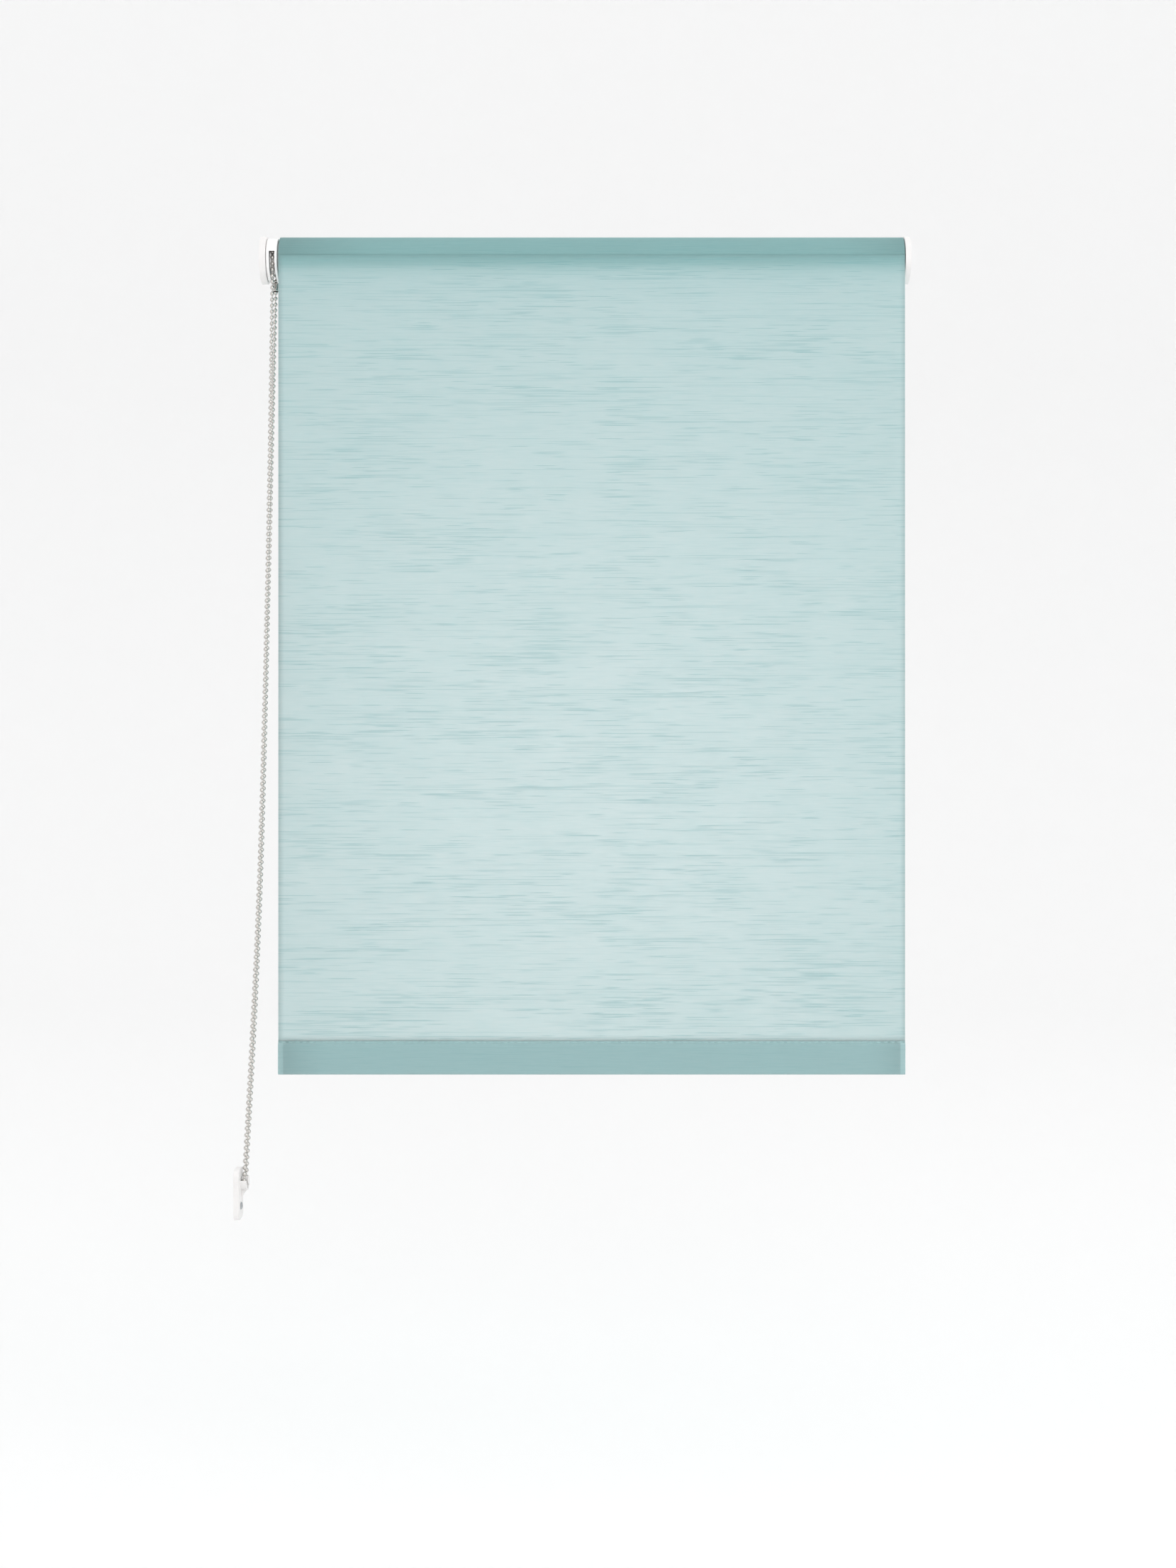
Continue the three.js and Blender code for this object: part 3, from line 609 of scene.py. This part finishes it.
def makeGuard():
    # a drum, open towards the roller, with a slot all down its lower part for the chain
    low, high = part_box("chain_guard")
    radius = (high.z - low.z) / 2
    wall, bore, mouth, edge = (guard[key] for key in ("wall", "bore", "mouth", "edge"))
    points = [(low.x, bore), (low.x, radius - edge)]
    for i in range(1, 6):
        angle = math.pi / 2 * i / 6
        points.append((low.x + edge * (1 - math.cos(angle)), radius - edge * (1 - math.sin(angle))))
    for i in range(1, 6):
        angle = math.pi / 2 * i / 6
        points.append((high.x - edge * (1 - math.sin(angle)), radius - edge * (1 - math.cos(angle))))
    points += [
        (high.x, radius - edge),
        (high.x, mouth),
        (high.x - wall, mouth),
        (high.x - wall, radius - wall),
        (low.x + wall, radius - wall),
        (low.x + wall, bore),
    ]
    drum = bmesh.new()
    spun(drum, points, guard["steps"])
    middle, half = guard["slotAt"], guard["slotWidth"] / 2
    past = radius + 0.005
    slot = block((middle - half, -past, -past), (middle + half, past, guard["slotTop"]))
    bm = combined("guard", drum, slot, "DIFFERENCE", merged=False)
    return made("guard_housing", bm, guardPaintedLight, "fixed", ["chain_guard"], smooth=28)


tidy = {
    "depth": 0.026,
    "thickness": 0.005,
    "corner": 0.007,
    "edge": 0.0004,
    "cradle": 0.00805,  # inner radius
    "cradleWall": 0.0016,
    "opening": 0.4,  # radians short of level, at the rear
    "web": 0.003,
    "webDrop": 0.009,
    "webSetback": 0.0006,
    "lap": 0.0005,
    "hole": 0.002,
    "postTail": 0.00175,
    "postStem": 0.00275,
    "postHead": (  # short of the end, radius
        (0.0012, 0.00275), (0.0010, 0.0035), (0.0009, 0.0038), (0.0004, 0.0039), (0.0001, 0.0036),
        (0, 0.0030), (0, 0),
    ),
    "screwShank": 0.0017,
    "screwRim": 0.0033,
    "screwCrown": ((0.0004, 0.0030), (0.0001, 0.0022), (0, 0.0012), (0, 0)),
    "crossLength": 0.0042,
    "crossWidth": 0.0008,
    "crossDepth": 0.0008,
    "crossTurn": 0.2,
}


def makeTidy():
    low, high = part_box("tidy_base")
    postLow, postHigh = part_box("tidy_post")
    y, z = (postLow.y + postHigh.y) / 2, (postLow.z + postHigh.z) / 2
    corner, lap = tidy["corner"], tidy["lap"]
    front, rear, face = low.y, low.y + tidy["depth"], low.x + tidy["thickness"]
    outline = (
        arc(rear - corner, high.z - corner, corner, 0, math.pi / 2, 8)
        + arc(front + corner, high.z - corner, corner, math.pi / 2, math.pi, 8)
        + arc(front + corner, low.z + corner, corner, math.pi, 1.5 * math.pi, 8)
        + arc(rear - corner, low.z + corner, corner, 1.5 * math.pi, math.tau, 8)
    )
    inner, wall, rearEnd = tidy["cradle"], tidy["cradleWall"], math.tau - tidy["opening"]
    cradle = arc(y, z, inner + wall, math.pi, rearEnd, 28) + arc(y, z, inner, rearEnd, math.pi, 28)
    body = drawn(outline, low.x, face)
    body = combined("tidy", body, drawn(cradle, face - lap, high.x), "UNION")
    top = z - inner - wall / 2
    web = bmesh.new()
    near = y - tidy["web"] / 2
    corners = [(face - lap, near, top), (high.x - tidy["webSetback"], near, top),
               (face - lap, near, top - tidy["webDrop"])]
    side = web.faces.new([web.verts.new(c) for c in corners])
    grown = bmesh.ops.extrude_face_region(web, geom=[side])
    moved = [v for v in grown["geom"] if isinstance(v, bmesh.types.BMVert)]
    bmesh.ops.translate(web, verts=moved, vec=(0, tidy["web"], 0))
    bmesh.ops.recalc_face_normals(web, faces=web.faces[:])
    body = combined("tidy", body, web, "UNION")
    screwLow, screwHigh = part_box("tidy_screw")
    hole = bmesh.new()
    centre = (screwLow + screwHigh) / 2
    bmesh.ops.create_cone(hole, cap_ends=True, segments=40, radius1=tidy["hole"], radius2=tidy["hole"],
                          depth=4 * tidy["thickness"],
                          matrix=Matrix.Translation(centre) @ Matrix.Rotation(math.pi / 2, 4, "Y"))
    body = combined("tidy", body, hole, "DIFFERENCE")
    rounded(body, tidy["edge"])
    made("tidy_body", body, white, "fixed", ["tidy_base"], smooth=40)

    step = face + 0.0003
    outline = [(postLow.x, 0), (postLow.x, tidy["postTail"]), (step, tidy["postTail"]),
               (step, tidy["postStem"])]
    outline += [(postHigh.x - short, radius) for short, radius in tidy["postHead"]]
    bm = bmesh.new()
    spun(bm, outline, 48, centre=(0, y, z))
    made("tidy_pin", bm, white, "fixed", ["tidy_post"])

    head, seat, rim = screwHigh.x, face + 0.0002, tidy["screwRim"]
    outline = [(screwLow.x, 0), (screwLow.x, tidy["screwShank"]), (seat, tidy["screwShank"]),
               (seat, rim), (face + 0.0005, rim + 0.0001)]
    outline += [(head - short, radius) for short, radius in tidy["screwCrown"]]
    bm = bmesh.new()
    spun(bm, outline, 40, centre=(0, centre.y, centre.z))
    long, wide = tidy["crossLength"] / 2, tidy["crossWidth"] / 2
    for turn in (0, math.pi / 2):
        slot = block((head - tidy["crossDepth"], -long, -wide), (head + 0.002, long, wide))
        bmesh.ops.rotate(slot, verts=slot.verts[:], cent=(0, 0, 0),
                         matrix=Matrix.Rotation(turn + tidy["crossTurn"], 3, "X"))
        bmesh.ops.translate(slot, verts=slot.verts[:], vec=(0, centre.y, centre.z))
        bm = combined("screw", bm, slot, "DIFFERENCE")
    made("tidy_fixing", bm, zinc, "fixed", ["tidy_screw"])


makeCover("control_cap", "control_cover", 1)
makeCover("idle_cap", "idle_cover", -1)
makeGuard()
makeTidy()
report("covers, guard and tidy")


cloth = {
    "thickness": 0.00042,
    "rollOuter": 0.02225,
    "turn": 0.00045,  # what each turn adds to the roll's radius
    "turns": 6,
    "turnSteps": 56,
}
dropShape = {
    "columns": 96,
    "rows": 120,
    "ripple": 0.0004,
    "forward": 1.4,  # ripples that the drop stands forward by, clear of the roll
    "broadWaves": 19,
    "fineWaves": 41,
    "fineShare": 0.6,
}


def thickened(piece):
    skin = piece.modifiers.new("thickness", "SOLIDIFY")
    skin.thickness = cloth["thickness"]
    skin.offset = 0
    return piece


def sheetAlongX(name, outline, left, right, columns, finish, nodes, body):
    # a [y, z] line drawn out along X as a sheet, with the cloth's own metres as its UVs
    bm = bmesh.new()
    lengths = bm.verts.layers.float.new("length")  # each extrusion copies it
    line = [bm.verts.new((left, y, z)) for y, z in outline]
    front = [bm.edges.new(pair) for pair in zip(line, line[1:])]
    walked = 0.0
    for a, b in zip(line, line[1:]):
        walked += (b.co - a.co).length
        b[lengths] = walked
    for _ in range(columns):
        grown = bmesh.ops.extrude_edge_only(bm, edges=front)["geom"]
        front = [part for part in grown if isinstance(part, bmesh.types.BMEdge)]
        corners = [part for part in grown if isinstance(part, bmesh.types.BMVert)]
        bmesh.ops.translate(bm, verts=corners, vec=((right - left) / columns, 0, 0))
        front = [edge for edge in front if abs(edge.verts[0].co.x - edge.verts[1].co.x) < 1e-7]
    bmesh.ops.recalc_face_normals(bm, faces=bm.faces[:])
    cloths = bm.loops.layers.uv.new("cloth")
    for face in bm.faces:
        for loop in face.loops:
            loop[cloths].uv = (loop.vert.co.x, loop.vert[lengths])
    return thickened(made(name, bm, finish, body, nodes, smooth=60)), walked


def makeRoll(left, right):
    # the turns left on the tube, from the line where the drop leaves inwards
    steps = cloth["turnSteps"] * cloth["turns"]
    outline = []
    for i in range(steps + 1):
        turns = cloth["turns"] * i / steps
        radius = cloth["rollOuter"] - cloth["turn"] * turns
        angle = math.pi - math.tau * turns
        outline.append((radius * math.cos(angle), radius * math.sin(angle)))
    piece, length = sheetAlongX("fabric_turns", outline, left, right, 6, rolled, ["fabric_roll"],
                                "roller")
    return length


def makePanel(left, right, bottom, hemY):
    look = dropShape
    bm = bmesh.new()
    bmesh.ops.create_grid(bm, x_segments=look["columns"], y_segments=look["rows"], size=0.5)
    for v in bm.verts:
        across, down = v.co.x + 0.5, 0.5 - v.co.y
        base = -cloth["rollOuter"] + (hemY + cloth["rollOuter"]) * down
        # faint upright waves that fade at the roll and the hem
        hold = math.sin(math.pi * down) ** 0.7 if 0 < down < 1 else 0
        wave = math.sin(across * look["broadWaves"] + 1.3 * math.sin(down * 3))
        wave += look["fineShare"] * math.sin(across * look["fineWaves"] + 2.1 * down)
        v.co = (left + (right - left) * across,
                base + look["ripple"] * hold * (wave - look["forward"]), bottom * down)
    bmesh.ops.recalc_face_normals(bm, faces=bm.faces[:])
    return thickened(made("fabric_drop", bm, hanging, "fixed", ["fabric_panel"]))


hemFold = {
    "overlap": 0.0003,
    "slack": 0.0003,
    "tucked": 0.0012,  # how far the drop reaches between the hem's two layers
    "weld": 0.0014,  # under the hem's upper edge
    "pinch": 0.00015,
    "dash": (0.0040, 0.00020, 0.00060),
    "dashPitch": 0.0068,
    "dashFree": 0.004,  # of the width, without dashes
}


def makeHem(left, right):
    # one sheet that comes down the back, round under the bar and up the front to its cut edge
    low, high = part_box("hem_pocket")
    barLow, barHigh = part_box("bottom_bar")
    middle = (low.y + high.y) / 2
    reach = (barHigh.y - barLow.y) / 2 + hemFold["slack"] + cloth["thickness"] / 2
    shut = hemFold["overlap"] + cloth["thickness"] / 2
    weld = high.z - hemFold["weld"]
    pinched = shut - hemFold["pinch"]
    foot = low.z + cloth["thickness"] / 2 + reach
    side = [
        (shut + 0.0001, high.z - 0.0002),
        (shut + 0.0001, weld + 0.0006),
        (pinched, weld + 0.0003),
        (pinched, weld - 0.0003),
        (shut + 0.0005, weld - 0.0007),
        (reach * 0.74, weld - 0.0015),
        (reach * 0.96, weld - 0.0026),
        (reach, barHigh.z - 0.0040),
        (reach, (low.z + high.z) / 2),
        (reach, foot),
    ]
    under = arc(0, foot, reach, 0, -math.pi, 12)[1:-1]
    outline = side + under + [(-y, z) for y, z in reversed(side)]
    pocket, length = sheetAlongX("hem_sleeve", [(middle + y, z) for y, z in outline], left, right, 12,
                                 hemmed, ["hem_pocket"], "hem")
    # the weld shows as a row of short pressed dashes, painted paler as painted light for the bright line
    # along it
    dash = bmesh.new()
    bmesh.ops.create_cube(dash, size=1, matrix=Matrix.Diagonal((*hemFold["dash"], 1)))
    rounded(dash, 0.00005, 2)
    step = hemFold["dashPitch"]
    count = int((right - left - hemFold["dashFree"]) / step)
    first = (left + right) / 2 - step * (count - 1) / 2
    face = middle - shut - cloth["thickness"] / 2 + hemFold["pinch"]
    marks = bmesh.new()
    repeated(marks, dash, [Matrix.Translation((first + step * i, face, weld)) for i in range(count)])
    made("hem_weld", marks, weldPaintedLight, "hem", smooth=50)
    return pocket


rollLow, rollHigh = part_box("fabric_roll")
panelLow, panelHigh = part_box("fabric_panel")
hem = makeHem(rollLow.x, rollHigh.x)
turnsLength = makeRoll(rollLow.x, rollHigh.x)
drop = makePanel(rollLow.x, rollHigh.x, panelLow.z - hemFold["tucked"], (panelLow.y + panelHigh.y) / 2)
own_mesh(drop)
report("fabric, %.3f m of it on the tube" % turnsLength)


def finishNodes():
    # the parts that keep their own shape
    finishes = {
        zinc: ["control_bracket", "idle_bracket", "control_screw_upper", "control_screw_lower",
               "idle_screw_upper", "idle_screw_lower", "hub_washer", "hub_screw", "idle_pin"],
        wire: ["wrap_spring_1", "wrap_spring_2", "idle_spring"],
        grey: ["clutch_hub", "drive_crown", "fabric_spline", "idle_plug"],
        white: ["chain_wheel"],
        black: ["idle_bush"],
        extruded: ["roller_tube", "bottom_bar"],
    }
    for finish, nodes in finishes.items():
        for node in nodes:
            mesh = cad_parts[node].data
            mesh.materials.clear()
            mesh.materials.append(finish)


finishNodes()
# the pin's spring shortens as the pin goes in, and stays seated against the plug
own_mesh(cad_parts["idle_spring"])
report("finishes")


studio = {"radius": 7.5, "floor": -1.25, "wall": 5.0, "bend": 2.5, "paint": 0.93, "world": 1.12}
lamps = {  # place, what it points at, size, power
    "window light": ((0.0, 0.60, -0.58), (0.0, 0.0, -0.58), (0.45, 0.50), 6.0),
    "front light": ((0.3, -2.6, 0.2), (0, 0, -0.4), (0.9, 0.9), 9),
    "side light": ((2.8, -2.0, 1.2), (0, 0, -0.4), (1.6, 2.2), 10),
}


def makeBackdrop():
    bm = bmesh.new()
    points = [(0, studio["floor"]), (studio["radius"] - studio["bend"], studio["floor"])]
    for i in range(1, 13):
        angle = math.pi / 2 * i / 12
        points.append((studio["radius"] - studio["bend"] * (1 - math.sin(angle)),
                       studio["floor"] + studio["bend"] * (1 - math.cos(angle))))
    points.append((studio["radius"], studio["wall"]))
    corners = [bm.verts.new((r, 0, z)) for r, z in points]
    edges = [bm.edges.new(pair) for pair in zip(corners, corners[1:])]
    bmesh.ops.spin(bm, geom=corners + edges, cent=(0, 0, 0), axis=(0, 0, 1), angle=math.tau, steps=96,
                   use_merge=True)
    bmesh.ops.remove_doubles(bm, verts=bm.verts[:], dist=1e-5)
    bmesh.ops.recalc_face_normals(bm, faces=bm.faces[:])
    mesh = bpy.data.meshes.new("backdrop")
    bm.to_mesh(mesh)
    bm.free()
    mesh.polygons.foreach_set("use_smooth", [True] * len(mesh.polygons))
    g = Graph("backdrop paint")
    paint = (studio["paint"],) * 3
    mesh.materials.append(g.finish(g.principled(Base_Color=paint, Roughness=0.9)))
    backdrop = bpy.data.objects.new("backdrop", mesh)
    bpy.context.scene.collection.objects.link(backdrop)


def addLamp(name, only=()):
    place, target, size, power = lamps[name]
    lamp = bpy.data.lights.new(name, "AREA")
    lamp.shape = "RECTANGLE"
    lamp.size, lamp.size_y = size
    lamp.energy = power
    holder = bpy.data.objects.new(name, lamp)
    holder.location = place
    way = Vector(target) - Vector(place)
    holder.rotation_euler = way.to_track_quat("-Z", "Y").to_euler()
    holder.visible_camera = False
    bpy.context.scene.collection.objects.link(holder)
    if only:  # light on these pieces and on nothing else
        lit = bpy.data.collections.new(name)
        for piece in only:
            lit.objects.link(piece)
        holder.light_linking.receiver_collection = lit


makeBackdrop()
world = bpy.data.worlds.new("studio")
world.use_nodes = True
sky = world.node_tree.nodes["Background"].inputs
sky["Color"].default_value = (1, 1, 1, 1)
sky["Strength"].default_value = studio["world"]
bpy.context.scene.world = world
bpy.context.scene.view_settings.view_transform = "Standard"
addLamp("window light", only=[drop])
addLamp("front light")
addLamp("side light")
report("studio")
